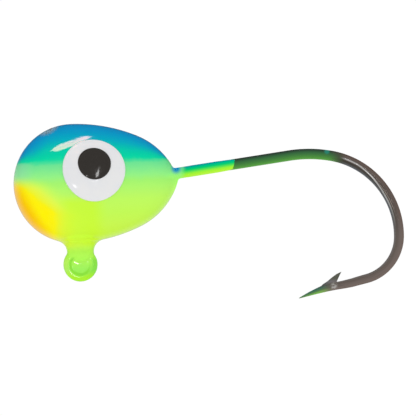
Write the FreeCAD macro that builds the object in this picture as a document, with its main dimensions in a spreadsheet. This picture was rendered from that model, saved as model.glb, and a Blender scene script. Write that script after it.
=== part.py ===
import FreeCAD, Part
import math
import os

import Sketcher

# A jig head: a painted, egg-shaped lead ball cast round the bend of a jig hook.
#
# Frame: the origin is the centre of the line-tie eye. +X runs from the nose of the ball to the
# bend of the hook, +Z from the eye to the back of the ball, and XZ is the plane of symmetry.

doc = FreeCAD.newDocument("jig_head")

# alias, value (mm or degrees), meaning
SIZES = [
    ("wire_diameter", 0.63, "hook wire"),
    ("eye_radius", 0.69, "line-tie eye, to the middle of its wire"),
    ("eye_wire_radius", 0.30, "line-tie eye, its wire, drawn down a little as it is turned"),
    ("neck_length", 3.25, "straight wire from the eye to the jig bend"),
    ("jig_bend_radius", 1.20, "bend inside the lead"),
    ("shank_rise", 8.8, "angle of the shank above the X axis"),
    ("shank_length", 12.67, "straight wire from the jig bend to the bend of the hook"),
    ("bend_entry_radius", 8.34, "first, slack arc of the bend"),
    ("bend_entry_turn", 18.7, ""),
    ("bend_heel_radius", 5.29, "heel of the bend"),
    ("bend_heel_turn", 80.3, ""),
    ("bend_toe_radius", 2.84, "toe of the bend, the tightest arc"),
    ("bend_toe_turn", 77.0, ""),
    ("throat_length", 2.40, "straight throat from the bend to the ground point"),
    ("throat_radius", 0.26, "end of the throat, where the wire is drawn down"),
    ("point_length", 2.07, "ground point"),
    ("point_tip_radius", 0.015, ""),
    ("point_drop", 0.24, "tip below the middle of the wire: the point is ground from above"),
    ("barb_start", 3.40, "front of the barb, from the end of the bend"),
    ("barb_tip", 1.38, "tip of the barb, from the end of the bend"),
    ("barb_notch", 1.99, "notch under the barb, from the end of the bend"),
    ("barb_lift", 0.80, "tip of the barb above the middle of the wire"),
    ("barb_width", 0.26, "sliver of wire that makes the barb"),
    ("head_pitch", 2.18, "the ball's tail stands up from the X axis by this angle"),
    ("ball_station", -0.28, "centre of the ball's nose sphere, along the pitched axis"),
    ("ball_height", 5.26, "centre of the ball's nose sphere above the eye"),
    ("ball_radius", 3.78, "nose sphere of the bare lead"),
    ("flank_radius", 10.29, "slack arc behind the nose sphere"),
    ("flank_turn", 24.4, ""),
    ("tail_radius", 4.57, "arc that closes the ball onto the shank"),
    ("collar_radius", 0.79, "lead collar round the neck"),
    ("collar_foot", 0.68, "lower end of the collar above the centre of the eye"),
    ("collar_fillet", 0.70, "fillet between the collar and the ball"),
    ("base_film", 0.05, "white base coat on the lead and the eye"),
    ("colour_film", 0.03, "colour coat over it"),
    ("shank_film", 0.02, "each of the two coats on the wire"),
    ("paint_reach", 10.06, "end of the paint, along the shank from the jig bend's corner"),
    ("eye_skin", 0.14, "skin of paint across the hole of the line-tie eye"),
    ("white_radius", 2.03, "white dot of the painted eye"),
    ("white_film", 0.16, ""),
    ("white_roll", 14.6, "turn of the white dot up from the side of the ball"),
    ("pupil_radius", 1.07, "dark dot of the painted eye"),
    ("pupil_film", 0.08, ""),
    ("pupil_roll", 19.3, "turn of the dark dot up from the side of the ball"),
    ("dot_station", 0.42, "where the axis of both dots leaves the middle of the ball, along X"),
    ("dot_yaw", 8.0, "turn of both dots towards the tail, as the flank slopes"),
]

sheet = doc.addObject("Spreadsheet::Sheet", "Sizes")
for row, (alias, value, meaning) in enumerate(SIZES, start=1):
    sheet.set(f"A{row}", alias)
    sheet.set(f"B{row}", str(value))
    sheet.set(f"C{row}", meaning)
    sheet.setAlias(f"B{row}", alias)
doc.recompute()


def size(alias):
    """The number in a cell of the sheet."""
    return float(sheet.get(alias))


def bind(item, **cells):
    """Bind properties of an object to formulas over the sheet's cells."""
    for name, formula in cells.items():
        item.setExpression(name.replace("__", "."), formula)


def new_sketch(body, name, role):
    """An empty sketch on one of the body's own origin planes."""
    sketch = body.newObject("Sketcher::SketchObject", name)
    plane = next(item for item in body.Origin.OriginFeatures if item.Role == role)
    sketch.AttachmentSupport = (plane, "")
    sketch.MapMode = "FlatFace"
    return sketch


def dimension(sketch, kind, *where, formula):
    """A dimension of the sketch that follows a formula over the sheet's cells."""
    index = sketch.addConstraint(Sketcher.Constraint(kind, *where))
    name = f"size_{index}"
    sketch.renameConstraint(index, name)
    sketch.setExpression(f"Constraints.{name}", formula)


def circle_sketch(body, name, role, formula):
    """A circle about the sketch's origin."""
    sketch = new_sketch(body, name, role)
    sketch.addGeometry(Part.Circle(FreeCAD.Vector(0, 0, 0), FreeCAD.Vector(0, 0, 1), 1.0))
    sketch.addConstraint(Sketcher.Constraint("Coincident", 0, 3, -1, 1))
    dimension(sketch, "Radius", 0, 1.0, formula=formula)
    return sketch


# ---------------------------------------------------------------- hook
# One steel wire, formed cold: the eye, the neck, the jig bend, the straight shank and the bend
# of the hook, made of three arcs that tighten towards the throat.

ARCS = {
    "jig_bend": ("Sizes.jig_bend_radius", "90 - Sizes.shank_rise"),
    "bend_entry": ("Sizes.bend_entry_radius", "Sizes.bend_entry_turn"),
    "bend_heel": ("Sizes.bend_heel_radius", "Sizes.bend_heel_turn"),
    "bend_toe": ("Sizes.bend_toe_radius", "Sizes.bend_toe_turn"),
}


def direction(heading):
    """Unit vector in the plane of a sketch, at an angle in degrees from its first axis."""
    return FreeCAD.Vector(math.cos(math.radians(heading)), math.sin(math.radians(heading)), 0)


def wire_path(sketch):
    """Draw the wire's middle line as tangent lines and arcs. Returns its end and heading."""
    turns = {"jig_bend": 90 - size("shank_rise")}
    for name in ("bend_entry", "bend_heel", "bend_toe"):
        turns[name] = size(name + "_turn")
    steps = ["neck_length", "jig_bend", "shank_length", "bend_entry", "bend_heel", "bend_toe"]
    here = FreeCAD.Vector(0, size("eye_radius"), 0)
    heading = 90.0
    last_end = None
    for index, step in enumerate(steps):
        if step in ARCS:
            radius = size(step + "_radius")
            centre = here + radius * direction(heading - 90)
            start_angle = heading + 90
            end_angle = start_angle - turns[step]
            circle = Part.Circle(centre, FreeCAD.Vector(0, 0, 1), radius)
            sketch.addGeometry(
                Part.ArcOfCircle(circle, math.radians(end_angle), math.radians(start_angle))
            )
            here = centre + radius * direction(end_angle)
            heading -= turns[step]
            # An arc runs anticlockwise, so the wire enters it at its second end.
            first_end, next_end = 2, 1
        else:
            there = here + size(step) * direction(heading)
            sketch.addGeometry(Part.LineSegment(here, there))
            here = there
            first_end, next_end = 1, 2
        if last_end is not None:
            sketch.addConstraint(
                Sketcher.Constraint("Tangent", index - 1, last_end, index, first_end)
            )
        if step in ARCS:
            radius_formula, turn_formula = ARCS[step]
            dimension(sketch, "Radius", index, radius, formula=radius_formula)
            turn = math.radians(turns[step])
            dimension(sketch, "Angle", index, turn, formula=f"({turn_formula}) * 1 deg")
        else:
            dimension(sketch, "Distance", index, size(step), formula="Sizes." + step)
        last_end = next_end
    sketch.addConstraint(Sketcher.Constraint("Vertical", 0))
    sketch.addConstraint(Sketcher.Constraint("PointOnObject", 0, 1, -2))
    dimension(sketch, "DistanceY", -1, 1, 0, 1, size("eye_radius"), formula="Sizes.eye_radius")
    return here, heading


wire = doc.addObject("PartDesign::Body", "HookWire")
middle_line = new_sketch(wire, "WireMiddleLine", "XZ_Plane")
bend_end, throat_heading = wire_path(middle_line)
wire_section = circle_sketch(wire, "WireSection", "XY_Plane", "Sizes.wire_diameter / 2")
bind(wire_section, AttachmentOffset__Base__z="Sizes.eye_radius")
doc.recompute()
wire_sweep = wire.newObject("PartDesign::AdditivePipe", "WireSweep")
wire_sweep.Profile = wire_section
wire_sweep.Spine = (middle_line, [f"Edge{n + 1}" for n in range(middle_line.GeometryCount)])
doc.recompute()


def eye_ring(name, wire_radius_formula):
    """The turned eye, with or without its paint. Its hole runs along Y."""
    ring = doc.addObject("Part::Torus", name)
    bind(ring, Radius1="Sizes.eye_radius", Radius2=wire_radius_formula)
    ring.Placement = FreeCAD.Placement(
        FreeCAD.Vector(0, 0, 0), FreeCAD.Rotation(FreeCAD.Vector(1, 0, 0), 90)
    )
    return ring


# The throat, point and barb have a frame of their own: X along the throat from the end of the bend, and
# Z away from the shank, so that the barb is on the -Z side.
point = doc.addObject("PartDesign::Body", "HookPoint")
point.Placement = FreeCAD.Placement(
    FreeCAD.Vector(bend_end.x, 0, bend_end.y),
    FreeCAD.Rotation(FreeCAD.Vector(0, 1, 0), -throat_heading),
)
throat_root = circle_sketch(point, "ThroatRoot", "YZ_Plane", "Sizes.wire_diameter / 2")
point_root = circle_sketch(point, "PointRoot", "YZ_Plane", "Sizes.throat_radius")
bind(point_root, AttachmentOffset__Base__z="Sizes.throat_length")
point_tip = circle_sketch(point, "PointTip", "YZ_Plane", "Sizes.point_tip_radius")
bind(
    point_tip,
    AttachmentOffset__Base__y="Sizes.point_drop",
    AttachmentOffset__Base__z="Sizes.throat_length + Sizes.point_length",
)
doc.recompute()
ground_point = point.newObject("PartDesign::AdditiveLoft", "GroundPoint")
ground_point.Profile = throat_root
ground_point.Sections = [point_root, point_tip]
ground_point.Ruled = True
doc.recompute()

barb_outline = new_sketch(point, "BarbOutline", "XZ_Plane")
barb_corners = [
    FreeCAD.Vector(size("barb_start"), 0, 0),
    FreeCAD.Vector(size("barb_tip"), -size("barb_lift"), 0),
    FreeCAD.Vector(size("barb_notch"), 0, 0),
]
for corner in range(3):
    barb_outline.addGeometry(
        Part.LineSegment(barb_corners[corner], barb_corners[(corner + 1) % 3])
    )
for corner in range(3):
    barb_outline.addConstraint(
        Sketcher.Constraint("Coincident", corner, 2, (corner + 1) % 3, 1)
    )
barb_outline.addConstraint(Sketcher.Constraint("PointOnObject", 0, 1, -1))
barb_outline.addConstraint(Sketcher.Constraint("PointOnObject", 2, 1, -1))
for line, cell in enumerate(("barb_start", "barb_tip", "barb_notch")):
    dimension(barb_outline, "DistanceX", -1, 1, line, 1, size(cell), formula="Sizes." + cell)
dimension(barb_outline, "DistanceY", 1, 1, -1, 1, size("barb_lift"), formula="Sizes.barb_lift")
doc.recompute()
barb = point.newObject("PartDesign::Pad", "Barb")
barb.Profile = barb_outline
barb.Midplane = True
bind(barb, Length="Sizes.barb_width")
doc.recompute()

hook = doc.addObject("Part::MultiFuse", "hook")
hook.Shapes = [eye_ring("EyeRing", "Sizes.eye_wire_radius"), wire, point]


# ---------------------------------------------------------------- lead ball and its coats
# The ball is a nose sphere, a slack flank and a rounder tail, spun about one axis. The bare lead
# and each coat of paint have the same outline, each a film further out.


def ball_body(name, film):
    """A body that holds the ball, with its outline a film outside the bare lead."""
    body = doc.addObject("PartDesign::Body", name)
    body.Placement = FreeCAD.Placement(
        FreeCAD.Vector(0, 0, 0),
        FreeCAD.Rotation(FreeCAD.Vector(0, 1, 0), -size("head_pitch")),
    )
    outline = new_sketch(body, name + "Outline", "XZ_Plane")
    bind(
        outline,
        AttachmentOffset__Base__x="Sizes.ball_station",
        AttachmentOffset__Base__y="Sizes.ball_height",
    )
    nose_radius = size("ball_radius")
    flank_radius = size("flank_radius")
    tail_radius = size("tail_radius")
    up = FreeCAD.Vector(0, 0, 1)
    origin = FreeCAD.Vector(0, 0, 0)
    flank_centre = FreeCAD.Vector(0, nose_radius - flank_radius, 0)
    flank_end = math.radians(90 - size("flank_turn"))
    tail_centre = flank_centre + (flank_radius - tail_radius) * direction(90 - size("flank_turn"))
    tail_end = -math.asin(tail_centre.y / tail_radius)
    tail_tip = tail_centre.x + tail_radius * math.cos(tail_end)
    outline.addGeometry(
        Part.ArcOfCircle(Part.Circle(origin, up, nose_radius), math.pi / 2, math.pi)
    )
    outline.addGeometry(
        Part.ArcOfCircle(Part.Circle(flank_centre, up, flank_radius), flank_end, math.pi / 2)
    )
    outline.addGeometry(
        Part.ArcOfCircle(Part.Circle(tail_centre, up, tail_radius), tail_end, flank_end)
    )
    outline.addGeometry(
        Part.LineSegment(FreeCAD.Vector(-nose_radius, 0, 0), FreeCAD.Vector(tail_tip, 0, 0))
    )
    outline.addConstraint(Sketcher.Constraint("Coincident", 0, 3, -1, 1))
    outline.addConstraint(Sketcher.Constraint("PointOnObject", 0, 1, -2))
    outline.addConstraint(Sketcher.Constraint("Tangent", 0, 1, 1, 2))
    outline.addConstraint(Sketcher.Constraint("Tangent", 1, 1, 2, 2))
    outline.addConstraint(Sketcher.Constraint("Coincident", 0, 2, 3, 1))
    outline.addConstraint(Sketcher.Constraint("Coincident", 2, 1, 3, 2))
    outline.addConstraint(Sketcher.Constraint("Horizontal", 3))
    outline.addConstraint(Sketcher.Constraint("PointOnObject", 2, 1, -1))
    dimension(outline, "Radius", 0, nose_radius, formula=f"Sizes.ball_radius + {film}")
    dimension(outline, "Radius", 1, flank_radius, formula=f"Sizes.flank_radius + {film}")
    dimension(outline, "Radius", 2, tail_radius, formula=f"Sizes.tail_radius + {film}")
    turn = math.radians(size("flank_turn"))
    dimension(outline, "Angle", 1, turn, formula="Sizes.flank_turn * 1 deg")
    doc.recompute()
    spin = body.newObject("PartDesign::Revolution", name + "Ball")
    spin.Profile = outline
    spin.ReferenceAxis = (outline, ["H_Axis"])
    spin.Angle = 360
    doc.recompute()
    return body


def collared_ball(name, film):
    """The ball with the collar that runs down round the neck, and the fillet between them."""
    body = ball_body(name, film)
    outline = new_sketch(body, name + "CollarOutline", "XZ_Plane")
    foot = size("collar_foot")
    top = size("ball_height")
    radius = size("collar_radius")
    corners = [(0, foot), (radius, foot), (radius, top), (0, top)]
    corners = [FreeCAD.Vector(across, height, 0) for across, height in corners]
    for corner in range(4):
        outline.addGeometry(Part.LineSegment(corners[corner], corners[(corner + 1) % 4]))
    for corner in range(4):
        outline.addConstraint(Sketcher.Constraint("Coincident", corner, 2, (corner + 1) % 4, 1))
    for line, kind in enumerate(("Horizontal", "Vertical", "Horizontal")):
        outline.addConstraint(Sketcher.Constraint(kind, line))
    outline.addConstraint(Sketcher.Constraint("PointOnObject", 0, 1, -2))
    outline.addConstraint(Sketcher.Constraint("PointOnObject", 3, 1, -2))
    dimension(outline, "DistanceX", 0, 1, 0, 2, radius, formula=f"Sizes.collar_radius + {film}")
    dimension(outline, "DistanceY", -1, 1, 0, 1, foot, formula=f"Sizes.collar_foot - ({film})")
    dimension(outline, "DistanceY", -1, 1, 3, 1, top, formula="Sizes.ball_height")
    doc.recompute()
    spin = body.newObject("PartDesign::Revolution", name + "Collar")
    spin.Profile = outline
    spin.ReferenceAxis = (outline, ["V_Axis"])
    spin.Angle = 360
    doc.recompute()
    fillet = body.newObject("PartDesign::Fillet", name + "Fillet")
    fillet.Base = (spin, meeting_edges(spin.Shape))
    bind(fillet, Radius=f"Sizes.collar_fillet - ({film})")
    doc.recompute()
    return body


def meeting_edges(shape):
    """Names of the edges where the collar runs into the underside of the ball."""
    lowest = size("ball_height") - size("ball_radius") - 0.2
    names = []
    for number, edge in enumerate(shape.Edges, start=1):
        if edge.Degenerated:
            continue
        samples = edge.discretize(5)
        on_collar = all(math.hypot(p.x, p.y) < 1.3 * size("collar_radius") for p in samples)
        above_foot = all(lowest < p.z < size("ball_height") for p in samples)
        if on_collar and above_foot:
            names.append(f"Edge{number}")
    return names


def shank_sleeve(name, film):
    """Paint on the first stretch of the shank, drawn with the wire inside it."""
    sleeve = doc.addObject("Part::Cylinder", name)
    corner = "tan((90 deg - Sizes.shank_rise * 1 deg) / 2) * Sizes.jig_bend_radius"
    bind(
        sleeve,
        Radius=f"Sizes.wire_diameter / 2 + {film}",
        Height=f"Sizes.paint_reach + {film}",
        Placement__Base__z=f"Sizes.eye_radius + Sizes.neck_length + {corner}",
    )
    sleeve.Placement.Rotation = FreeCAD.Rotation(
        FreeCAD.Vector(0, 1, 0), 90 - size("shank_rise")
    )
    return sleeve


def painted_form(name, film, wire_film):
    """Everything inside the outer face of a coat."""
    form = doc.addObject("Part::MultiFuse", name)
    form.Shapes = [
        collared_ball(name + "Head", film),
        eye_ring(name + "Ring", f"Sizes.eye_wire_radius + {film}"),
        shank_sleeve(name + "Sleeve", wire_film),
    ]
    return form


def cut(label, base, *tools):
    """What is left of the base outside the tools."""
    tool = tools[0]
    if len(tools) > 1:
        tool = doc.addObject("Part::MultiFuse", label + "_room")
        tool.Shapes = list(tools)
    left = doc.addObject("Part::Cut", label)
    left.Base = base
    left.Tool = tool
    return left


lead_form = collared_ball("LeadForm", "0")
base_form = painted_form("BaseForm", "Sizes.base_film", "Sizes.shank_film")
colour_form = painted_form(
    "ColourForm", "Sizes.base_film + Sizes.colour_film", "2 * Sizes.shank_film"
)
lead_head = cut("lead_head", lead_form, hook)
base_coat = cut("base_coat", base_form, lead_form, hook)
colour_coat = cut("colour_coat", colour_form, base_form, hook)

# Paint bridges the small hole of the eye with a thin skin, which is poked out before use.
skin_blank = doc.addObject("Part::Cylinder", "EyeSkinBlank")
bind(skin_blank, Radius="Sizes.eye_radius", Height="Sizes.eye_skin")
skin_blank.Placement = FreeCAD.Placement(
    FreeCAD.Vector(0, size("eye_skin") / 2, 0), FreeCAD.Rotation(FreeCAD.Vector(1, 0, 0), 90)
)
eye_hole_film = cut("eye_hole_film", skin_blank, colour_form)


# ---------------------------------------------------------------- painted eyes
# Each eye is a dot of thick white enamel with a smaller dark dot on it, touched on by hand.


def dot(label, part, under, over):
    """A dot of enamel on one cheek, between the faces of two ball-shaped bodies."""
    punch = doc.addObject("Part::Cylinder", label + "_punch")
    bind(
        punch,
        Radius=f"Sizes.{part}_radius",
        Height="2 * Sizes.ball_radius",
        Placement__Base__x="Sizes.dot_station",
        Placement__Base__z="Sizes.ball_height",
    )
    roll = FreeCAD.Rotation(FreeCAD.Vector(1, 0, 0), 90 - size(part + "_roll"))
    yaw = FreeCAD.Rotation(FreeCAD.Vector(0, 0, 1), size("dot_yaw"))
    punch.Placement.Rotation = yaw * roll
    blank = doc.addObject("Part::Common", label + "_blank")
    blank.Base = over
    blank.Tool = punch
    return cut(label, blank, under)


def other_cheek(label, source):
    """The same dot on the far cheek."""
    mirrored = doc.addObject("Part::Mirroring", label)
    mirrored.Source = source
    mirrored.Normal = FreeCAD.Vector(0, 1, 0)
    return mirrored


paint = "Sizes.base_film + Sizes.colour_film"
painted_ball = ball_body("PaintedBall", paint)
white_ball = ball_body("WhiteBall", paint + " + Sizes.white_film")
pupil_ball = ball_body("PupilBall", paint + " + Sizes.white_film + Sizes.pupil_film")
left_eye_white = dot("left_eye_white", "white", painted_ball, white_ball)
left_eye_pupil = dot("left_eye_pupil", "pupil", white_ball, pupil_ball)
right_eye_white = other_cheek("right_eye_white", left_eye_white)
right_eye_pupil = other_cheek("right_eye_pupil", left_eye_pupil)


# ---------------------------------------------------------------- check and write

NODES = [
    hook,
    lead_head,
    base_coat,
    colour_coat,
    eye_hole_film,
    left_eye_white,
    left_eye_pupil,
    right_eye_white,
    right_eye_pupil,
]

doc.recompute()
for item in doc.Objects:
    if "Invalid" in item.State or "Error" in item.State:
        raise RuntimeError(f"{item.Label} failed: {item.State}")
for node in NODES:
    if node.Shape.isNull() or not node.Shape.isValid():
        raise RuntimeError(f"{node.Label} has no valid shape")

os.makedirs("parts", exist_ok=True)
for node in NODES:
    node.Shape.exportStep(f"parts/{node.Label}.step")
    print(f"{node.Label}: {len(node.Shape.Solids)} solid, {node.Shape.Volume:.3f} mm3")
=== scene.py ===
import math

import bpy
from mathutils import Matrix, Vector


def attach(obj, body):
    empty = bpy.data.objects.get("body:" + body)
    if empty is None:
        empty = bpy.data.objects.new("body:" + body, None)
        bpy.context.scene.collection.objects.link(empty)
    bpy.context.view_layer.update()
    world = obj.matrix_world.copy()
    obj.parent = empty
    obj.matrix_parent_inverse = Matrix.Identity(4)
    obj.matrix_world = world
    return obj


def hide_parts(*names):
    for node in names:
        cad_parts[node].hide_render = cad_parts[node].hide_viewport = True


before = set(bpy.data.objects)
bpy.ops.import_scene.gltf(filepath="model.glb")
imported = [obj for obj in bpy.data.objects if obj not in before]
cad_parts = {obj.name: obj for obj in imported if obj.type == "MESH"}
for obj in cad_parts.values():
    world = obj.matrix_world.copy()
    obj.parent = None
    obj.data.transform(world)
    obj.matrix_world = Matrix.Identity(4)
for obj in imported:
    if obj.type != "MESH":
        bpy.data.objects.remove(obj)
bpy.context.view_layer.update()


# ---------------------------------------------------------------- hook
# One steel wire, drawn and bent cold: eye, neck, jig bend, straight shank and a bend of three
# arcs that tighten towards the throat. The point is ground round, the barb is cut and lifted,
# and the whole is plated black nickel. The ball is cast round its neck.

EYE_RADIUS = 0.69
EYE_WIRE = 0.30
SHANK_WIRE = 0.343
NECK_FOOT = 0.69
NECK_LENGTH = 3.202
JIG_BEND = (1.20, 81.0, 10)
SHANK_LENGTH = 12.67
GAP_BENDS = ((8.34, 18.7, 16, 0.9986), (5.29, 80.3, 44, 0.9993), (2.84, 77.0, 40, 0.9976))
# Along the throat from the end of the bend, across it towards the shank, and half thickness.
THROAT_STATIONS = (
    (0.45, -0.020, 0.289), (0.90, -0.045, 0.280), (1.40, -0.040, 0.264), (1.90, -0.018, 0.250),
    (2.40, -0.002, 0.246), (2.70, -0.012, 0.235), (2.95, -0.032, 0.215), (3.20, -0.062, 0.188),
    (3.45, -0.093, 0.159), (3.70, -0.128, 0.130), (3.92, -0.162, 0.101), (4.12, -0.196, 0.072),
    (4.28, -0.224, 0.047), (4.39, -0.243, 0.028), (4.455, -0.252, 0.012),
)
BARB_OUTLINE = (
    (2.98, 0.13), (2.72, 0.29), (2.40, 0.41), (2.05, 0.59), (1.71, 0.735), (1.37, 0.815),
    (1.58, 0.56), (1.83, 0.23), (1.86, 0.10), (2.00, 0.00), (2.80, 0.00),
)
BARB_HALF_WIDTH = 0.165
BARB_TOP = 0.8
BARB_THINNING = 0.85
BARB_LEAST_WIDTH = 0.22
BARB_BEVEL = 0.035
ROUND = 40
NECK_STEPS = 4
SHANK_STEPS = 24
DRAWN_EDGE_ANGLE = 38


def nothing_selected():
    if bpy.context.object and bpy.context.object.mode != "OBJECT":
        bpy.ops.object.mode_set(mode="OBJECT")
    bpy.ops.object.select_all(action="DESELECT")


def edit(piece, mode):
    """Opens a piece for editing with all of it selected."""
    nothing_selected()
    piece.select_set(True)
    bpy.context.view_layer.objects.active = piece
    bpy.ops.object.mode_set(mode="EDIT")
    kinds = ("vertex", "edge", "face")
    bpy.context.tool_settings.mesh_select_mode = [mode == kind for kind in kinds]
    bpy.ops.mesh.select_all(action="SELECT")


def apply_modifier(piece, kind, **settings):
    """Adds one modifier to a piece and applies it."""
    nothing_selected()
    piece.select_set(True)
    bpy.context.view_layer.objects.active = piece
    modifier = piece.modifiers.new(kind.title(), kind)
    for name, value in settings.items():
        setattr(modifier, name, value)
    bpy.ops.object.modifier_apply(modifier=modifier.name)


def in_plane(angle):
    """Unit vector in the plane of the hook, at an angle in degrees above the X axis."""
    return Vector((math.cos(math.radians(angle)), 0, math.sin(math.radians(angle))))


def drawn_wire(name, here, heading, radius):
    """A disc across the wire's line, ready to be drawn out."""
    nothing_selected()
    bpy.ops.mesh.primitive_circle_add(
        vertices=ROUND, radius=radius, fill_type="NGON", location=here,
        rotation=(0, math.radians(90 - heading), 0),
    )
    piece = bpy.context.object
    piece.name = name
    bpy.ops.object.transform_apply(location=True, rotation=True, scale=True)
    edit(piece, "face")
    return piece


def draw_out(here, step, shrink=1.0):
    """Pulls the selected end of the wire on by a step, and thins it."""
    bpy.ops.mesh.extrude_region_move(TRANSFORM_OT_translate={"value": step})
    there = here + step
    if shrink != 1.0:
        bpy.ops.transform.resize(value=(shrink, shrink, shrink), center_override=there)
    return there


def bend_round(here, heading, radius, turn, steps, shrink=1.0):
    """Bends the selected end of the wire towards the gap, and thins it a little at each step."""
    centre = here + radius * in_plane(heading - 90)
    line = []
    for _ in range(steps):
        bpy.ops.mesh.spin(
            steps=1, angle=math.radians(turn / steps), center=centre, axis=(0, -1, 0),
        )
        heading -= turn / steps
        here = centre + radius * in_plane(heading + 90)
        if shrink != 1.0:
            bpy.ops.transform.resize(value=(shrink, shrink, shrink), center_override=here)
        line.append((here.copy(), heading))
    return here, heading, line


heading = 90.0
here = Vector((0, 0, NECK_FOOT))
hook = drawn_wire("plated_hook", here, heading, SHANK_WIRE)
wire_line = [(here.copy(), heading)]
for _ in range(NECK_STEPS):
    here = draw_out(here, NECK_LENGTH / NECK_STEPS * in_plane(heading))
    wire_line.append((here.copy(), heading))
here, heading, line = bend_round(here, heading, *JIG_BEND)
wire_line += line
for _ in range(SHANK_STEPS):
    here = draw_out(here, SHANK_LENGTH / SHANK_STEPS * in_plane(heading))
    wire_line.append((here.copy(), heading))
for gap_bend in GAP_BENDS:
    here, heading, line = bend_round(here, heading, *gap_bend)
    wire_line += line
along, towards_shank = in_plane(heading), in_plane(heading - 90)
bend_end = here.copy()
half = SHANK_WIRE
for _, _, steps, shrink in GAP_BENDS:
    half *= shrink ** steps
for station, lift, thickness in THROAT_STATIONS:
    there = bend_end + station * along + lift * towards_shank
    draw_out(here, there - here, thickness / half)
    here, half = there, thickness
    wire_line.append((here.copy(), heading))
bpy.ops.mesh.select_all(action="SELECT")
bpy.ops.mesh.normals_make_consistent(inside=False)
nothing_selected()


def cut_from_outline(name, points):
    """A flat plate whose rim follows a list of points in order."""
    nothing_selected()
    bpy.ops.mesh.primitive_plane_add(size=0.1, location=points[0])
    piece = bpy.context.object
    piece.name = name
    bpy.ops.object.transform_apply(location=True, rotation=True, scale=True)
    edit(piece, "vertex")
    bpy.ops.mesh.merge(type="CENTER")
    for before, after in zip(points, points[1:]):
        bpy.ops.mesh.extrude_region_move(TRANSFORM_OT_translate={"value": after - before})
    bpy.ops.mesh.select_all(action="SELECT")
    bpy.ops.mesh.edge_face_add()
    return piece


barb_points = [bend_end + a * along + b * towards_shank for a, b in BARB_OUTLINE]
barb = cut_from_outline("barb", [p + Vector((0, -BARB_HALF_WIDTH, 0)) for p in barb_points])
bpy.ops.mesh.extrude_region_move(TRANSFORM_OT_translate={"value": (0, 2 * BARB_HALF_WIDTH, 0)})
bpy.ops.object.mode_set(mode="OBJECT")
for vertex in barb.data.vertices:
    lift = (vertex.co - bend_end).dot(towards_shank)
    vertex.co.y *= max(BARB_LEAST_WIDTH, 1 - BARB_THINNING * max(0.0, lift) / BARB_TOP)
edit(barb, "edge")
bpy.ops.mesh.normals_make_consistent(inside=False)
bpy.ops.mesh.bevel(offset=BARB_BEVEL, segments=2, affect="EDGES", clamp_overlap=True)
nothing_selected()
apply_modifier(hook, "BOOLEAN", operation="UNION", solver="EXACT", object=barb)
bpy.data.objects.remove(barb)

nothing_selected()
bpy.ops.mesh.primitive_torus_add(
    major_radius=EYE_RADIUS, minor_radius=EYE_WIRE, major_segments=64, minor_segments=28,
    rotation=(math.radians(90), 0, 0),
)
eye = bpy.context.object
bpy.ops.object.transform_apply(location=True, rotation=True, scale=True)
apply_modifier(hook, "BOOLEAN", operation="UNION", solver="EXACT", object=eye)
bpy.data.objects.remove(eye)

# Where each part of the skin lies on the wire, for the drawing lines, the paint on it, and the
# painted reflections and highlight across it.
lengthwise = hook.data.attributes.new("lengthwise", "FLOAT", "POINT")
across = hook.data.attributes.new("across", "FLOAT", "POINT")
sideways = hook.data.attributes.new("sideways", "FLOAT", "POINT")
lengths = [0.0]
for (before, _), (after, _) in zip(wire_line, wire_line[1:]):
    lengths.append(lengths[-1] + (after - before).length)
for vertex in hook.data.vertices:
    nearest = min(range(len(wire_line)), key=lambda n: (vertex.co - wire_line[n][0]).length_squared)
    middle, way = wire_line[nearest]
    off = vertex.co - middle
    lengthwise.data[vertex.index].value = lengths[nearest] + off.dot(in_plane(way))
    across.data[vertex.index].value = off.dot(in_plane(way + 90)) / SHANK_WIRE
    sideways.data[vertex.index].value = off.y / SHANK_WIRE


def to_metres(piece):
    """Brings a piece that was modelled in millimetres to the frame's metres."""
    nothing_selected()
    piece.select_set(True)
    bpy.context.view_layer.objects.active = piece
    piece.scale = (0.001, 0.001, 0.001)
    bpy.ops.object.transform_apply(location=True, rotation=True, scale=True)


to_metres(hook)
bpy.ops.object.shade_smooth_by_angle(angle=math.radians(DRAWN_EDGE_ANGLE))


def linear(red, green, blue):
    """A paint-card colour, 0 to 255, as the shader's numbers."""
    parts = [part / 255 for part in (red, green, blue)]
    return tuple(
        part / 12.92 if part <= 0.04045 else ((part + 0.055) / 1.055) ** 2.4 for part in parts
    ) + (1.0,)


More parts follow.
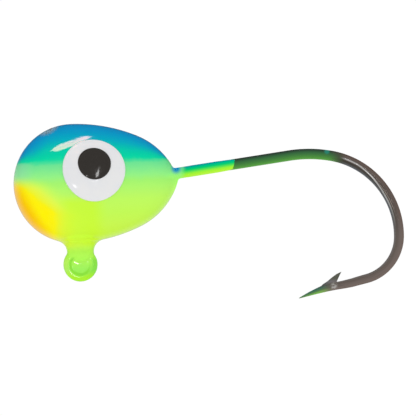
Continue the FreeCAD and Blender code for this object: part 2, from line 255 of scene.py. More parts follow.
class Feed:
    """A number, colour or place on its way through a finish's nodes."""

    def __init__(self, tree, socket):
        self.tree, self.socket = tree, socket

    def node(self, kind, settings, sockets, result=0):
        """Adds one node: its settings first, then what its sockets hold. Gives one output."""
        made = self.tree.nodes.new(kind)
        for name, value in settings.items():
            if name == "stops":
                stops = made.color_ramp.elements
                stops.remove(stops[1])
                stops[0].position, stops[0].color = value[0]
                for place, colour in value[1:]:
                    stops.new(place).color = colour
            else:
                setattr(made, name, value)
        for name, value in sockets.items():
            if isinstance(value, Feed):
                self.tree.links.new(value.socket, made.inputs[name])
            else:
                made.inputs[name].default_value = value
        return Feed(self.tree, made.outputs[result])

    def maths(self, operation, *values):
        return self.node("ShaderNodeMath", {"operation": operation}, dict(enumerate(values)))

    def __add__(self, other):
        return self.maths("ADD", self, other)

    __radd__ = __add__

    def __sub__(self, other):
        return self.maths("SUBTRACT", self, other)

    def __rsub__(self, other):
        return self.maths("SUBTRACT", other, self)

    def __mul__(self, other):
        return self.maths("MULTIPLY", self, other)

    __rmul__ = __mul__

    def __truediv__(self, other):
        return self.maths("DIVIDE", self, other)

    def __neg__(self):
        return self.maths("MULTIPLY", self, -1.0)

    def root(self):
        return self.maths("SQRT", self)

    def least(self, other, blend):
        """The lesser of two, with a soft corner between them."""
        return self.maths("SMOOTH_MIN", self, other, blend)

    def size(self):
        return self.maths("ABSOLUTE", self)

    def rise(self, low, high):
        """0 below low and 1 above high, with a soft step between. It falls if low is above high."""
        return self.node(
            "ShaderNodeMapRange", {"interpolation_type": "SMOOTHSTEP"},
            {"Value": self, "From Min": low, "From Max": high},
        )

    def colours(self, low, high, swatches):
        """Colours laid between low and high, each given with its own value there."""
        share = (self - low) / (high - low)
        stops = [((value - low) / (high - low), linear(*swatch)) for value, swatch in swatches]
        return self.node("ShaderNodeValToRGB", {"stops": stops}, {"Fac": share})

    def parts(self):
        """The three numbers of a place."""
        return [self.node("ShaderNodeSeparateXYZ", {}, {0: self}, n) for n in range(3)]

    def place(self, x, y, z):
        return self.node("ShaderNodeCombineXYZ", {}, {0: x, 1: y, 2: z})

    def noise(self, scale, detail=2.0, rough=0.5):
        """Soft random grain at this place, around a half."""
        return self.node(
            "ShaderNodeTexNoise", {"noise_dimensions": "3D"},
            {"Vector": self, "Scale": scale, "Detail": detail, "Roughness": rough},
        )

    def mixed(self, first, second):
        """The first colour where this is 0, and the second where it is 1."""
        pair = [linear(*c) if isinstance(c, tuple) else c for c in (first, second)]
        return self.node(
            "ShaderNodeMix", {"data_type": "RGBA"}, {0: self, 6: pair[0], 7: pair[1]}, 2
        )

    def bumps(self):
        """A normal for a height in millimetres."""
        return self.node("ShaderNodeBump", {}, {"Strength": 1.0, "Distance": 0.001, "Height": self})


def reach(*parts):
    """How far off a place is, from how far off it is each way."""
    total = parts[0] * parts[0]
    for part in parts[1:]:
        total = total + part * part
    return total.root()


def new_finish(name):
    """A material, its place in millimetres on the object, and its main shader."""
    material = bpy.data.materials.new(name)
    material.use_nodes = True
    tree = material.node_tree
    shader = next(node for node in tree.nodes if node.type == "BSDF_PRINCIPLED")
    spot = Feed(tree, None)
    metres = spot.node("ShaderNodeTexCoord", {}, {}, 3)
    millimetres = spot.node(
        "ShaderNodeVectorMath", {"operation": "SCALE"}, {0: metres, "Scale": 1000.0}
    )
    return material, millimetres, shader


def finish_with(shader, **sockets):
    """Sets or links the main shader's sockets."""
    for name, value in sockets.items():
        socket = shader.inputs[name.replace("_", " ")]
        if isinstance(value, Feed):
            value.tree.links.new(value.socket, socket)
        else:
            socket.default_value = value


def put_on(piece, material):
    """Gives every slot of a piece this finish."""
    if not piece.material_slots:
        piece.data.materials.append(material)
    for slot in piece.material_slots:
        slot.material = material


# Where the green mist fades in and out: by length along the wire, and by X at the point.
OVERSPRAY = (8.0, 10.0, 20.0, 21.2)
POINT_MIST = (14.0, 14.3, 15.3, 16.4)
TEAL_FLECK = (15.97, 7.33)
# Middle of the painted highlight at the foot of the barb.
BARB_GLINT_SPOT = (16.42, -0.20, -1.38)

plating, spot, shader = new_finish("black_nickel")
length = spot.node("ShaderNodeAttribute", {"attribute_name": "lengthwise"}, {}, 2)
outer = spot.node("ShaderNodeAttribute", {"attribute_name": "across"}, {}, 2)
side = spot.node("ShaderNodeAttribute", {"attribute_name": "sideways"}, {}, 2)
lines = spot.place(length * 0.10, outer * 1.6, side * 1.6).noise(4.0, 3.0, 0.6)
clouds = spot.place(length * 0.5, outer, side).noise(1.3, 3.0)
# Painted reflections: the bluish inner edge, the dark band inside the middle and the warm brown
# outer side across the wire are painted into the plating's own colour. Low on the bend they even
# out towards one brown.
plating_and_painted_reflections = outer.colours(-1.0, 1.0, (
    (-1.0, (122, 130, 140)), (-0.72, (100, 103, 106)), (-0.45, (72, 69, 62)), (-0.2, (78, 72, 66)),
    (0.1, (100, 91, 86)), (0.5, (116, 103, 96)), (1.0, (108, 86, 76)),
))
x, y, z = spot.parts()
plating_and_painted_reflections = (z.rise(3.6, 1.6) * 0.6).mixed(plating_and_painted_reflections, (110, 98, 93))
plating_and_painted_reflections = (clouds.rise(0.3, 0.7) * 0.35).mixed(plating_and_painted_reflections, (112, 101, 96))
plating_and_painted_reflections = (lines.rise(0.5, 0.75) * 0.5).mixed(plating_and_painted_reflections, (74, 68, 65))
# Painted highlight: a lighter stripe in the plating's colour, in place of the highlight that runs
# round the bend.
painted_highlight_off = (outer - 0.10 + 0.62 * x.rise(17.8, 20.0)).size()
painted_highlight = painted_highlight_off.rise(0.20, 0.05) * x.rise(16.7, 17.3) * z.rise(2.2, 4.8)
plating_and_painted_reflections = (painted_highlight * (0.5 + 0.6 * lines)).mixed(plating_and_painted_reflections, (218, 216, 214))
specks = spot.noise(9.0, 3.0, 0.7)
dusted = length.rise(*OVERSPRAY[:2]) * length.rise(*OVERSPRAY[:1:-1])
mist = (-outer).colours(-1.0, 1.0, (
    (-1.0, (42, 50, 46)), (-0.7, (46, 72, 54)), (-0.3, (54, 104, 62)), (0.1, (64, 120, 62)),
    (0.5, (74, 138, 62)), (0.8, (86, 152, 66)), (1.0, (110, 168, 92)),
))
teal_fleck = reach(x - TEAL_FLECK[0], z - TEAL_FLECK[1]).rise(0.24, 0.08)
mist = (teal_fleck * 0.8).mixed(mist, (40, 138, 118))
on_point = x.rise(*POINT_MIST[:2]) * x.rise(*POINT_MIST[:1:-1]) * z.rise(0.6, 0.0)
covered = (dusted + on_point * 0.8) * (0.8 + 0.4 * specks)
tip_mist = outer.colours(-0.6, 0.6, (
    (-0.6, (44, 70, 66)), (-0.3, (40, 112, 92)), (0.0, (72, 122, 72)), (0.3, (112, 178, 72)),
    (0.6, (134, 206, 74)),
))
mist = x.rise(17.2, 16.6).mixed(mist, z.rise(0.6, 0.0).mixed(mist, tip_mist))
plating_and_painted_reflections = (x.rise(17.3, 16.7) * z.rise(-1.15, -0.85) * 0.75).mixed(plating_and_painted_reflections, (78, 82, 66))
# Painted highlight: a small bright, speckled spot at the foot of the barb.
painted_glint = spot.node(
    "ShaderNodeVectorMath", {"operation": "DISTANCE"}, {0: spot, 1: BARB_GLINT_SPOT}, 1
).rise(0.30, 0.08)
plating_and_painted_reflections = (painted_glint * specks.rise(0.38, 0.62) * 0.9).mixed(plating_and_painted_reflections, (182, 181, 177))
polished = z.rise(1.5, 4.0)
finish_with(
    shader,
    Base_Color=covered.mixed(plating_and_painted_reflections, mist),
    Metallic=0.3 * polished * (1.0 - covered),
    Specular_IOR_Level=0.0,
    Specular_Tint=linear(150, 146, 142),
    Roughness=0.50 - 0.36 * polished + 0.08 * lines + 0.24 * covered,
    Normal=(lines * 0.0016 + covered * specks * 0.006).bumps(),
)
put_on(hook, plating)
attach(hook, "root")
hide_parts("hook")


# ---------------------------------------------------------------- lead ball
# Lead alloy, poured round the neck and the jig bend in a two-part mould. The paint hides it.

lead, spot, shader = new_finish("cast_lead")
frost = spot.noise(5.0, 6.0, 0.65)
pits = spot.noise(22.0, 2.0)
dull = frost.rise(0.35, 0.7)
finish_with(
    shader,
    Base_Color=dull.mixed((122, 124, 130), (88, 90, 96)),
    Metallic=0.9,
    Roughness=0.42 + 0.25 * dull,
    Normal=(frost * 0.01 + pits.rise(0.6, 0.75) * -0.012).bumps(),
)
put_on(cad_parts["lead_head"], lead)


# ---------------------------------------------------------------- white base coat
# A thin white primer, sprayed over the lead, the eye and the first stretch of shank so that the
# bright colours stay bright. The painted form is modelled here in one skin: the primer is that
# skin, set in by the thickness of the colour's film, and the colour coat is the skin itself.

NOSE_CENTRE = Vector((-0.480, 0, 5.246))
PITCH = 2.18
NOSE_RADIUS = 3.862
FLANK_RADIUS = 10.372
FLANK_TURN = 24.4
TAIL_RADIUS = 4.652
COLLAR_RADIUS = 0.874
# Height and radius.
COLLAR_FOOT = (
    (0.20, 0.37), (0.30, 0.50), (0.42, 0.64), (0.53, 0.76), (0.63, 0.845), (0.74, COLLAR_RADIUS),
)
# The fillet under the ball: on the nose side and on the tail side, where it starts, and its turn.
FILLET_RADIUS = 0.75
FILLET_START = (0.778, 0.881)
FILLET_TURN = (75.6, 77.8)
FILLET_STEPS = 9
RING_MIDDLE = 0.80
RING_WIRE = 0.315
RING_DEPTH = 1.29
HOLE_PAINT_RADIUS = 0.80
HOLE_PAINT_FACE = 0.325
# Distance along the shank from its corner in the lead, and radius.
SLEEVE_STATIONS = ((1.5, 0.37), (5.0, 0.37), (7.0, 0.37), (9.0, 0.366), (10.1, 0.362))
SLEEVE_END_LEAN = -22.0
SHANK_CORNER = Vector((0, 0, 4.917))
SHANK_RISE = 9.0
SKIN = 0.063
FILM = 0.035
PRIMER_DETAIL = 0.4
# How far off the collar and the shank the ball's exact form takes over, and from what X the
# sleeve's does, each with the stretch over which it does so.
CLEAR_OF_COLLAR = (1.75, 0.5)
CLEAR_OF_SHANK = (0.55, 0.35)
CLEAR_OF_BALL = (6.9, 0.3)
# The eye, below this height, and the sleeve's end, past this X, are smoothed less.
EYE_TOP = 0.45
SLEEVE_TIP = 9.2
CRISP_SHARE = 0.35
SMOOTHINGS = 10
# The ball's steps along the nose, the flank and the tail, and round its axis.
BALL_STEPS = (60, 30, 44)
BALL_ROUND = 160


def copy_of(piece, name):
    """The same piece again, with its own mesh."""
    twin = piece.copy()
    twin.data = piece.data.copy()
    twin.name = name
    bpy.context.scene.collection.objects.link(twin)
    return twin


def past(distance, limits):
    """0 up to a distance, and 1 when a stretch beyond it is passed."""
    start, stretch = limits
    return min(1.0, max(0.0, (distance - start) / stretch))


def fit_to(piece, form, group, hold):
    """Lays a skin back on an exact form, as far as hold says at each place."""
    weights = piece.vertex_groups.new(name=group)
    for vertex in piece.data.vertices:
        weights.add([vertex.index], hold(vertex.co), "REPLACE")
    apply_modifier(
        piece, "SHRINKWRAP", target=form, vertex_group=group, wrap_method="NEAREST_SURFACEPOINT"
    )


nothing_selected()
top_of_nose = NOSE_CENTRE + NOSE_RADIUS * in_plane(90 + PITCH)
nose_pole = NOSE_CENTRE + NOSE_RADIUS * in_plane(180 + PITCH)
bpy.ops.mesh.primitive_plane_add(size=0.1, location=nose_pole)
ball = bpy.context.object
ball.name = "ball_form"
bpy.ops.object.transform_apply(location=True, rotation=True, scale=True)
edit(ball, "vertex")
bpy.ops.mesh.merge(type="CENTER")
flank_centre = NOSE_CENTRE + (NOSE_RADIUS - FLANK_RADIUS) * in_plane(90 + PITCH)
tail_lean = 90 + PITCH - FLANK_TURN
tail_centre = flank_centre + (FLANK_RADIUS - TAIL_RADIUS) * in_plane(tail_lean)
offset = (tail_centre - NOSE_CENTRE).dot(in_plane(90 + PITCH))
tail_turn = tail_lean - (PITCH + math.degrees(math.asin(-offset / TAIL_RADIUS)))
arcs = ((NOSE_CENTRE, 90.0), (flank_centre, FLANK_TURN), (tail_centre, tail_turn))
for (centre, turn), steps in zip(arcs, BALL_STEPS):
    bpy.ops.mesh.spin(steps=steps, angle=math.radians(turn), center=centre, axis=(0, -1, 0))
bpy.ops.mesh.select_all(action="SELECT")
bpy.ops.mesh.spin(
    steps=BALL_ROUND, angle=math.radians(360), center=NOSE_CENTRE, axis=in_plane(PITCH)
)
bpy.ops.mesh.select_all(action="SELECT")
bpy.ops.mesh.remove_doubles(threshold=0.002)
bpy.ops.mesh.normals_make_consistent(inside=False)
nothing_selected()

foot, radius = COLLAR_FOOT[0]
here = Vector((0, 0, foot))
coat = drawn_wire("colour_coat_skin", here, 90.0, radius)
rings = [(Vector((0, 0, height)), width, 0.0) for height, width in COLLAR_FOOT]
for step in range(FILLET_STEPS + 1):
    turns = [math.radians(turn * step / FILLET_STEPS) for turn in FILLET_TURN]
    sides = [
        Vector((
            way * (COLLAR_RADIUS + FILLET_RADIUS * (1 - math.cos(turn))), 0,
            start + FILLET_RADIUS * math.sin(turn),
        ))
        for way, start, turn in zip((-1, 1), FILLET_START, turns)
    ]
    span = sides[1] - sides[0]
    tilt = math.degrees(math.atan2(span.z, span.x))
    rings.append(((sides[0] + sides[1]) / 2, span.length / 2, tilt))
middle, width, tilt = rings[-1]
rings.append((middle + Vector((0, 0, 0.5)), width, tilt))
for (_, before, lean), (middle, after, tilt) in zip(rings, rings[1:]):
    here = draw_out(here, middle - here, after / before)
    if tilt != lean:
        bpy.ops.transform.rotate(
            value=math.radians(tilt - lean), orient_axis="Y", center_override=here
        )
bpy.ops.mesh.select_all(action="SELECT")
bpy.ops.mesh.normals_make_consistent(inside=False)
nothing_selected()

sleeve_way = in_plane(SHANK_RISE)
station, radius = SLEEVE_STATIONS[0]
here = SHANK_CORNER + station * sleeve_way
sleeve = drawn_wire("sleeve", here, SHANK_RISE, radius)
for (_, before), (station, after) in zip(SLEEVE_STATIONS, SLEEVE_STATIONS[1:]):
    there = SHANK_CORNER + station * sleeve_way
    here = draw_out(here, there - here, after / before)
bpy.ops.transform.rotate(
    value=math.radians(SLEEVE_END_LEAN), orient_axis="Y", center_override=here
)
bpy.ops.mesh.select_all(action="SELECT")
bpy.ops.mesh.normals_make_consistent(inside=False)
nothing_selected()

bpy.ops.mesh.primitive_torus_add(
    major_radius=RING_MIDDLE, minor_radius=RING_WIRE, major_segments=96, minor_segments=48,
    rotation=(math.radians(90), 0, 0),
)
ring = bpy.context.object
bpy.ops.object.transform_apply(location=True, rotation=True, scale=True)
ring.scale = (1, RING_DEPTH, 1)
bpy.ops.object.transform_apply(location=True, rotation=True, scale=True)
nothing_selected()
bpy.ops.mesh.primitive_cylinder_add(
    vertices=64, radius=HOLE_PAINT_RADIUS, depth=2 * HOLE_PAINT_FACE,
    rotation=(math.radians(90), 0, 0),
)
hole_paint = bpy.context.object
nothing_selected()
sleeve_form = copy_of(sleeve, "sleeve_form")
exact_ball = copy_of(ball, "exact_ball")
nothing_selected()
for part in (ball, sleeve, ring, hole_paint, coat):
    part.select_set(True)
bpy.context.view_layer.objects.active = coat
bpy.ops.object.join()
apply_modifier(coat, "REMESH", mode="VOXEL", voxel_size=SKIN)
soft = coat.vertex_groups.new(name="soft")
for vertex in coat.data.vertices:
    crisp = vertex.co.z < EYE_TOP or vertex.co.x > SLEEVE_TIP
    soft.add([vertex.index], CRISP_SHARE if crisp else 1.0, "REPLACE")
apply_modifier(coat, "SMOOTH", factor=0.5, iterations=SMOOTHINGS, vertex_group="soft")


def hold_to_ball(place):
    """1 on the ball's own face, and 0 near the collar and the shank."""
    if place.z < 1.2:
        return 0.0
    hold = 1.0
    if place.z < 3.5:
        hold *= past(math.hypot(place.x, place.y), CLEAR_OF_COLLAR)
    if place.x > 4.0:
        off = place - SHANK_CORNER
        hold *= past((off - off.dot(sleeve_way) * sleeve_way).length, CLEAR_OF_SHANK)
    return hold


fit_to(coat, exact_ball, "on_ball", hold_to_ball)
fit_to(coat, sleeve_form, "on_sleeve", lambda place: past(place.x, CLEAR_OF_BALL))
bpy.data.objects.remove(sleeve_form)
primer_skin = copy_of(coat, "white_primer_skin")
apply_modifier(primer_skin, "DISPLACE", strength=-FILM, mid_level=0.0)
apply_modifier(primer_skin, "DECIMATE", ratio=PRIMER_DETAIL)
to_metres(primer_skin)
bpy.ops.object.shade_smooth()

primer, spot, shader = new_finish("white_primer_film")
grain = spot.noise(30.0, 4.0, 0.6)
runs = spot.noise(1.2, 2.0)
finish_with(
    shader,
    Base_Color=runs.rise(0.3, 0.7).mixed((236, 236, 232), (226, 227, 226)),
    Roughness=0.5 + 0.15 * grain,
    Normal=(grain * 0.003 + runs * 0.01).bumps(),
)
put_on(primer_skin, primer)
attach(primer_skin, "root")
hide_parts("base_coat")


# ---------------------------------------------------------------- colour coat
# Airbrushed gloss over the primer: lime on the belly, a yellow throat, green cheeks and a blue
# back. It runs over ball, collar and eye in one skin, and ends cleanly on the shank.

to_metres(coat)
bpy.ops.object.shade_smooth()

# Colours by share of the way from the edge of the blue to the crest, by depth below that edge, by
# depth into the throat, and by height on the painted shank.
UPPER = (
    (0.0, (67, 223, 155)), (0.07, (20, 218, 160)), (0.15, (0, 213, 165)), (0.23, (1, 209, 166)),
    (0.38, (0, 200, 174)), (0.50, (0, 186, 183)), (0.62, (0, 172, 194)), (0.77, (0, 159, 200)),
    (0.88, (0, 152, 206)), (1.0, (0, 150, 210)),
)
LOWER = (
    (0.0, (67, 223, 155)), (0.19, (110, 229, 149)), (0.58, (131, 236, 143)),
    (0.97, (149, 243, 133)), (1.36, (164, 245, 111)), (1.75, (175, 248, 108)),
    (2.14, (184, 248, 102)), (2.53, (190, 250, 95)), (2.92, (192, 249, 92)),
    (3.30, (193, 249, 86)), (4.1, (199, 247, 80)), (5.2, (205, 250, 60)), (5.5, (192, 251, 80)),
    (5.95, (180, 250, 84)), (6.45, (180, 251, 92)), (6.95, (162, 246, 96)), (7.45, (160, 244, 80)),
)
THROAT = (
    (-1.5, (190, 249, 104)), (-0.97, (200, 251, 92)), (-0.65, (209, 250, 88)),
    (-0.45, (222, 248, 80)), (-0.26, (230, 246, 66)), (-0.06, (237, 243, 46)),
    (0.10, (250, 242, 12)), (0.32, (254, 240, 2)), (0.7, (254, 242, 1)),
)
SHANK_PAINT = (
    (-0.86, (182, 238, 72)), (-0.57, (170, 240, 52)), (-0.29, (145, 238, 62)),
    (0.0, (82, 222, 86)), (0.29, (6, 206, 106)), (0.57, (0, 192, 132)), (0.82, (0, 160, 150)),
    (1.0, (0, 126, 160)),
)
# Height of the blue's edge and of the ball's axis at X = 0, and their slopes.
BLUE_EDGE = (6.66, 0.0354)
BALL_AXIS = (5.264, 0.0381)
TAIL_SPOT = (6.2, 6.22)
GATE = (-2.10, 0.0, 8.747)
SLEEVE_SKIN = 0.37

gloss, spot, shader = new_finish("airbrushed_gloss")
x, y, z = spot.parts()
mottle = spot.noise(1.6, 4.0, 0.55) - 0.5
fine = spot.noise(9.0, 3.0, 0.6) - 0.5
edge = BLUE_EDGE[0] + BLUE_EDGE[1] * x + mottle * 0.22
axis = BALL_AXIS[0] + BALL_AXIS[1] * x
crest = axis + reach(y, z - axis)
share = (z - edge) / (crest - edge) + fine * 0.05
share = share + x.rise(-1.9, -3.2) * (z - edge).rise(0.0, 0.55) * 0.13
back = share.colours(0.0, 1.0, UPPER)
depth = edge - z + fine * 0.08
belly = depth.colours(0.0, 7.6, LOWER)
# Painted reflection: a pale grey-green sheen over the upper front of the nose.
belly = (x.rise(-2.8, -3.9) * z.rise(5.0, 5.9) * 0.3).mixed(belly, (160, 214, 190))
haze = (-0.616 * (x + 3.629) - 0.788 * (z - 4.990)).least(-0.55 * (x + 1.49), 0.3)
haze = haze + mottle * 0.2 + fine * 0.05
orange = (-0.845 * (x + 3.629) - 0.534 * (z - 4.536)).rise(-0.4, 0.55)
throat = orange.mixed(haze.colours(-1.5, 0.7, THROAT), (254, 196, 0))
belly = (haze.rise(-1.5, -0.5) * z.rise(0.8, 1.5) * z.rise(5.75, 4.85)).mixed(belly, throat)
lime = x.rise(1.9, 0.7) * x.rise(-1.8, -0.5) * z.rise(4.6, 3.9) * z.rise(0.9, 1.5)
belly = (lime * 0.62).mixed(belly, (203, 250, 28))
from_hole = reach(x, z)
on_ring = z.rise(0.55, 0.25)
# Painted shade: a darker green crescent in the groove round the hole's paint, on its lower left
# only.
groove_shade = from_hole.rise(0.50, 0.64) * from_hole.rise(0.80, 0.68) * (x + z).rise(0.75, -0.1)
belly = (on_ring * groove_shade * 0.8).mixed(belly, (142, 230, 60))
# The ring's outer rim: painted shade on its right side, a painted lighter side on its left, and
# lime towards its bottom.
rim = from_hole.rise(0.68, 0.86) * on_ring
belly = (rim * x.rise(0.1, 0.9) * 0.8).mixed(belly, (132, 222, 74))
belly = (rim * x.rise(0.0, -0.8) * 0.6).mixed(belly, (186, 238, 100))
belly = (rim * z.rise(-0.3, -0.85) * 0.8).mixed(belly, (174, 241, 40))
skin = (z - edge + fine * 0.2).rise(-0.12, 0.08).mixed(belly, back)
lift = ((z - SHANK_CORNER.z) * sleeve_way.x - x * sleeve_way.z) / SLEEVE_SKIN
shank_skin = lift.colours(-1.0, 1.0, SHANK_PAINT)
skin = x.rise(6.35, 6.9).mixed(skin, shank_skin)
tail_spot = reach(x - TAIL_SPOT[0], z - TAIL_SPOT[1])
skin = tail_spot.rise(0.46, 0.08).mixed(skin, (0, 142, 198))
gate = spot.node("ShaderNodeVectorMath", {"operation": "SUBTRACT"}, {0: spot, 1: GATE})
gx, gy, gz = gate.parts()
gate_far = (gx * gx * 1.3 + gy * gy * 0.26 + gz * gz * 1.3).root() + fine * 0.6
chipped = gate_far.rise(1.0, 0.6)
chips = spot.noise(7.0, 4.0, 0.8)
speckle = chips.rise(0.40, 0.60).mixed((196, 214, 218), (74, 108, 120))
skin = (chipped * chips.rise(0.35, 0.5) * 0.9).mixed(skin, speckle)
burr = ((gx - 0.17) * (gx - 0.17) + gz * gz + gy * gy * 0.05).root().rise(0.22, 0.1)
skin = (burr * 0.85).mixed(skin, (92, 68, 70))
seam = y.size().rise(0.11, 0.03) * (z - 1.3).rise(0.0, 0.3) * x.rise(6.2, 5.8)
peel = spot.noise(3.4, 2.0)
finish_with(
    shader,
    Base_Color=skin,
    Roughness=0.35 + 0.04 * fine + 0.4 * chipped,
    Specular_IOR_Level=0.0,
    Coat_Weight=x.rise(6.3, 5.7) * (1.0 - 0.7 * chipped),
    Coat_Roughness=0.08,
    Normal=(peel * 0.004 + seam * 0.012 + chipped * chips * 0.12).bumps(),
)
put_on(coat, gloss)
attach(coat, "root")
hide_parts("colour_coat", "eye_hole_film")


# ---------------------------------------------------------------- painted eyes
# Each eye is a drop of thick white enamel with a smaller drop of dark enamel on it, set down by
# hand with a round tip. Both level out with soft round rims.

DOT_PLACE = (0.42, 0, 5.26)
DOT_YAW = 8.0
DOT_ROUND = 112
DOT_SUNK = 0.02
OUTSIDE = 6.0
WHITE = {"radius": 2.03, "film": 0.16, "roll": 14.6}
PUPIL = {"radius": 1.07, "film": 0.08, "roll": 19.3}
# Share of the radius, and share of the film's thickness there.
DOT_PROFILE = (
    (1.0, 0.0), (0.994, 0.28), (0.982, 0.48), (0.965, 0.64), (0.94, 0.77), (0.905, 0.87),
    (0.86, 0.935), (0.80, 0.97), (0.70, 0.99), (0.55, 1.0), (0.36, 1.0), (0.16, 1.0),
)


def enamel_drop(name, sizes, under):
    """A round drop laid on a curved face, thick in the middle and round at its rim."""
    radius, film = sizes["radius"], sizes["film"]
    nothing_selected()
    bpy.ops.mesh.primitive_circle_add(vertices=DOT_ROUND, radius=radius, fill_type="NGON")
    drop = bpy.context.object
    drop.name = name
    edit(drop, "face")
    for (outer, _), (inner, _) in zip(DOT_PROFILE, DOT_PROFILE[1:]):
        bpy.ops.mesh.extrude_region_move(TRANSFORM_OT_translate={"value": (0, 0, 0)})
        bpy.ops.transform.resize(value=(inner / outer,) * 3, center_override=(0, 0, 0))
    bpy.ops.mesh.poke()
    nothing_selected()
    thickness = drop.vertex_groups.new(name="thickness")
    for vertex in drop.data.vertices:
        share = vertex.co.xy.length / radius
        weight = DOT_PROFILE[-1][1]
        for (outer, high), (inner, low) in zip(DOT_PROFILE, DOT_PROFILE[1:]):
            if inner <= share <= outer + 1e-6:
                weight = low + (high - low) * (share - inner) / (outer - inner)
        thickness.add([vertex.index], weight, "REPLACE")
    roll = Matrix.Rotation(math.radians(90 - sizes["roll"]), 4, "X")
    yaw = Matrix.Rotation(math.radians(DOT_YAW), 4, "Z")
    base = Matrix.Translation(DOT_PLACE)
    drop.matrix_world = base @ yaw @ roll @ Matrix.Translation((0, 0, OUTSIDE))
    drop.select_set(True)
    bpy.context.view_layer.objects.active = drop
    apply_modifier(
        drop, "SHRINKWRAP", target=under, wrap_method="PROJECT", use_project_z=True,
        use_negative_direction=True, use_positive_direction=False, offset=-DOT_SUNK,
    )
    bpy.ops.object.transform_apply(location=True, rotation=True, scale=True)
    apply_modifier(
        drop, "SOLIDIFY", thickness=film + DOT_SUNK, offset=1.0, vertex_group="thickness",
        thickness_vertex_group=DOT_SUNK / (film + DOT_SUNK), use_rim=True,
    )
    edit(drop, "vertex")
    bpy.ops.mesh.normals_make_consistent(inside=False)
    nothing_selected()
    return drop


def other_cheek(piece, name):
    """The same drop on the far cheek."""
    twin = copy_of(piece, name)
    nothing_selected()
    twin.select_set(True)
    bpy.context.view_layer.objects.active = twin
    twin.scale = (1, -1, 1)
    bpy.ops.object.transform_apply(location=True, rotation=True, scale=True)
    edit(twin, "vertex")
    bpy.ops.mesh.normals_make_consistent(inside=False)
    nothing_selected()
    return twin


left_white = enamel_drop("left_white_drop", WHITE, exact_ball)
left_pupil = enamel_drop("left_dark_drop", PUPIL, left_white)
right_white = other_cheek(left_white, "right_white_drop")
right_pupil = other_cheek(left_pupil, "right_dark_drop")
bpy.data.objects.remove(exact_ball)

white_enamel, spot, shader = new_finish("white_enamel_drop")
_, _, z = spot.parts()
ripple = spot.noise(0.9, 2.0)
dust = spot.noise(18.0, 3.0, 0.7)
finish_with(
    shader,
    Base_Color=ripple.rise(0.3, 0.7).mixed((228, 228, 228), (224, 225, 228)),
    Roughness=0.12 + 0.06 * dust + 0.4 * z.rise(6.0, 6.8),
    Specular_IOR_Level=0.3,
    Normal=(ripple * 0.02 + dust * 0.0008).bumps(),
)

dark_enamel, spot, shader = new_finish("dark_enamel_drop")
_, _, z = spot.parts()
ripple = spot.noise(1.1, 2.0)
dust = spot.noise(18.0, 3.0, 0.7)
finish_with(
    shader,
    Base_Color=dust.rise(0.4, 0.8).mixed((52, 49, 46), (58, 55, 52)),
    Roughness=0.30 + 0.05 * dust,
    Specular_IOR_Level=0.0,
    Coat_Weight=z.rise(6.8, 6.3),
    Coat_Roughness=0.07,
    Normal=(ripple * 0.02 + dust * 0.0008).bumps(),
)

for drop, material, node, slot in (
    (left_white, white_enamel, "left_eye_white", "white_enamel"),
    (right_white, white_enamel, "right_eye_white", "white_enamel"),
    (left_pupil, dark_enamel, "left_eye_pupil", "dark_enamel"),
    (right_pupil, dark_enamel, "right_eye_pupil", "dark_enamel"),
):
    to_metres(drop)
    bpy.ops.object.shade_smooth()
    put_on(drop, material)
    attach(drop, "root")
    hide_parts(node)


# ---------------------------------------------------------------- table, light and camera
# The jig head hangs over a plain white table in a white tent that lights it evenly. Gloss sees a
# dimmer tent with a bright bar and a slit in it, and a small lamp low by the lens adds glints.

TABLE_SIZE = 3.0
TABLE_HEIGHT = -0.045
TENT_LIGHT = 1.02
DIM_TENT = 0.03
BAR_GLOW = 14.5
SLIT_GLOW = 13.0
# Place and width of the bar and of the slit, as a mirror ball would show them.
BAR_HEIGHT = 0.684
BAR_SLOPE = 0.37
BAR_KNEE = 0.68
BAR_HALF = 0.057
SLIT_PLACE = 0.147
SLIT_HALF = 0.009
LAMP_PLACE = Vector((-0.0072, -0.114, -0.0116))
LAMP_AIM = Vector((0.009, 0, 0.005))
CAMERA_PLACE = (0.008262, -0.8087, 0.003661)

nothing_selected()
bpy.ops.mesh.primitive_plane_add(size=TABLE_SIZE, location=(0, 0, TABLE_HEIGHT))
table = bpy.context.object
table.name = "white_table"
bpy.ops.object.transform_apply(location=True, rotation=True, scale=True)
edit(table, "face")
bpy.ops.mesh.subdivide(number_cuts=4)
nothing_selected()
laminate, spot, shader = new_finish("white_table_top")
finish_with(
    shader,
    Base_Color=spot.noise(0.02, 3.0).mixed((250, 250, 250), (247, 247, 248)),
    Roughness=0.8,
    Emission_Color=linear(255, 255, 255),
    Emission_Strength=0.12,
    Specular_IOR_Level=0.0,
)
put_on(table, laminate)
table.visible_glossy = False

world = bpy.data.worlds.new("white_tent")
bpy.context.scene.world = world
world.use_nodes = True
world.cycles.sampling_method = "NONE"
tree = world.node_tree
tree.nodes.clear()
air = Feed(tree, None)
side, behind, over = air.node("ShaderNodeTexCoord", {}, {}, 0).parts()
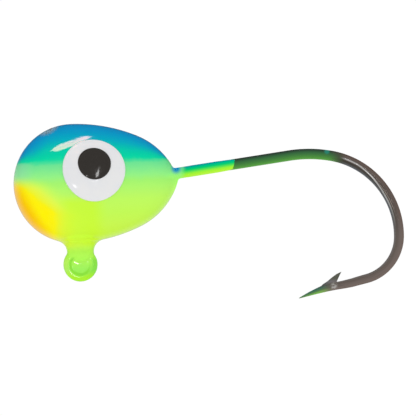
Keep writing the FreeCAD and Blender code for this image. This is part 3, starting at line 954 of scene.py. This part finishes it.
# Where a mirror ball would show each part of the tent: 0 in its middle and 1 at its rim.
flat = (2.0 * (1.0 - behind) + 0.0001).root()
right, up = side / flat, over / flat
knee = up.maths("MAXIMUM", right + 0.02, 0.0)
off = (up - BAR_HEIGHT - BAR_SLOPE * right - BAR_KNEE * knee).size()
half = BAR_HALF * right.rise(-0.42, -0.22) * right.rise(0.11, 0.03)
bar = (half - off).rise(0.0, 0.014)
slit = (SLIT_HALF - (right - SLIT_PLACE).size()).rise(0.0, 0.006)
slit = slit * up.rise(-0.05, 0.06) * up.rise(0.27, 0.15)
backdrop = behind.rise(0.5, 0.95) * 0.5 * over.rise(0.25, -0.05)
glow = DIM_TENT + backdrop + BAR_GLOW * bar + SLIT_GLOW * slit
mirrored = air.node("ShaderNodeLightPath", {}, {}, 3)
glow = mirrored * glow + (1.0 - mirrored) * TENT_LIGHT
cast = (bar * mirrored).mixed((255, 255, 255), (255, 172, 160))
tent = air.node("ShaderNodeBackground", {}, {"Color": cast, "Strength": glow})
output = tree.nodes.new("ShaderNodeOutputWorld")
tree.links.new(tent.socket, output.inputs["Surface"])


def lamp(name, place, aim, size, glow, long_way):
    """A panel that faces its aim and shows only in gloss. Its glow is in times a white paper's."""
    data = bpy.data.lights.new(name, "AREA")
    data.shape = "RECTANGLE"
    data.size, data.size_y = size
    data.energy = glow * 4 * size[0] * size[1]
    panel = bpy.data.objects.new(name, data)
    bpy.context.scene.collection.objects.link(panel)
    back = (place - aim).normalized()
    across = (long_way - long_way.dot(back) * back).normalized()
    up = back.cross(across)
    panel.matrix_world = Matrix.Translation(place) @ Matrix(
        ((across.x, up.x, back.x), (across.y, up.y, back.y), (across.z, up.z, back.z))
    ).to_4x4()
    panel.visible_camera = False
    panel.visible_diffuse = False


lamp("lens_lamp", LAMP_PLACE, LAMP_AIM, (0.011, 0.006), 36.0, Vector((-1, 0, 1)))

camera_data = bpy.data.cameras.new("camera")
camera_data.lens = 1080.0
camera_data.sensor_width = 36.0
camera_data.clip_start = 0.01
camera_data.clip_end = 20.0
camera = bpy.data.objects.new("camera", camera_data)
camera.location = CAMERA_PLACE
camera.rotation_euler = (math.radians(90), 0, 0)
bpy.context.scene.collection.objects.link(camera)
bpy.context.scene.camera = camera
bpy.context.scene.view_settings.view_transform = "Standard"
